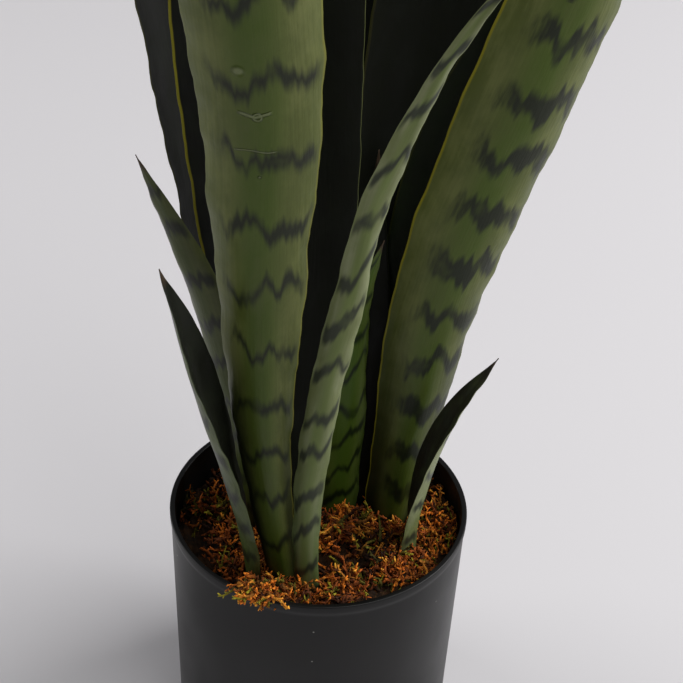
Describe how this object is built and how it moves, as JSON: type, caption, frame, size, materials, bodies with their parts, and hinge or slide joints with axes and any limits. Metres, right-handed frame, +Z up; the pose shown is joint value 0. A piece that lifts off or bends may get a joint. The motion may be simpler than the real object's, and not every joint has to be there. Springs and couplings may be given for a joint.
{
  "type": "potted snake plant",
  "caption": "Snake plant with tall banded strap leaves and short ones between them, rising in a loose tuft from dried moss in a plain round black pot with a slight taper.",
  "frame": {"origin": "centre of the pot's underside, on the pot's axis", "axes": "+Z up along the pot's axis, +X to the right and +Y to the back as seen from the front"},
  "size_m": [0.2773, 0.226, 0.7481],
  "materials": {
    "pot_plastic": "satin black",
    "potting_soil": "loose dark fibre",
    "dried_moss": "dry curled strands, dyed orange and olive",
    "leaf_plastic": "waxy satin green with dark cross bands"
  },
  "bodies": {
    "root": {"pot": "pot_plastic", "potting_soil": "potting_soil", "moss_bed": "dried_moss", "moss_tuft_front_rim": "dried_moss", "leaf_front_left_tall": "leaf_plastic", "leaf_front_centre_narrow": "leaf_plastic", "leaf_centre_short": "leaf_plastic", "leaf_right_tall": "leaf_plastic", "leaf_right_short": "leaf_plastic", "leaf_left_front_short": "leaf_plastic", "leaf_left_mid": "leaf_plastic", "leaf_back_left_tall": "leaf_plastic", "leaf_left_tall": "leaf_plastic", "leaf_front_rear_tall": "leaf_plastic", "leaf_back_centre_tall": "leaf_plastic", "leaf_right_rear_mid": "leaf_plastic", "leaf_centre_rear_short": "leaf_plastic", "leaf_back_left_centre_tall": "leaf_plastic", "leaf_back_right_short": "leaf_plastic", "leaf_back_left_short": "leaf_plastic"}
  },
  "joints": []
}
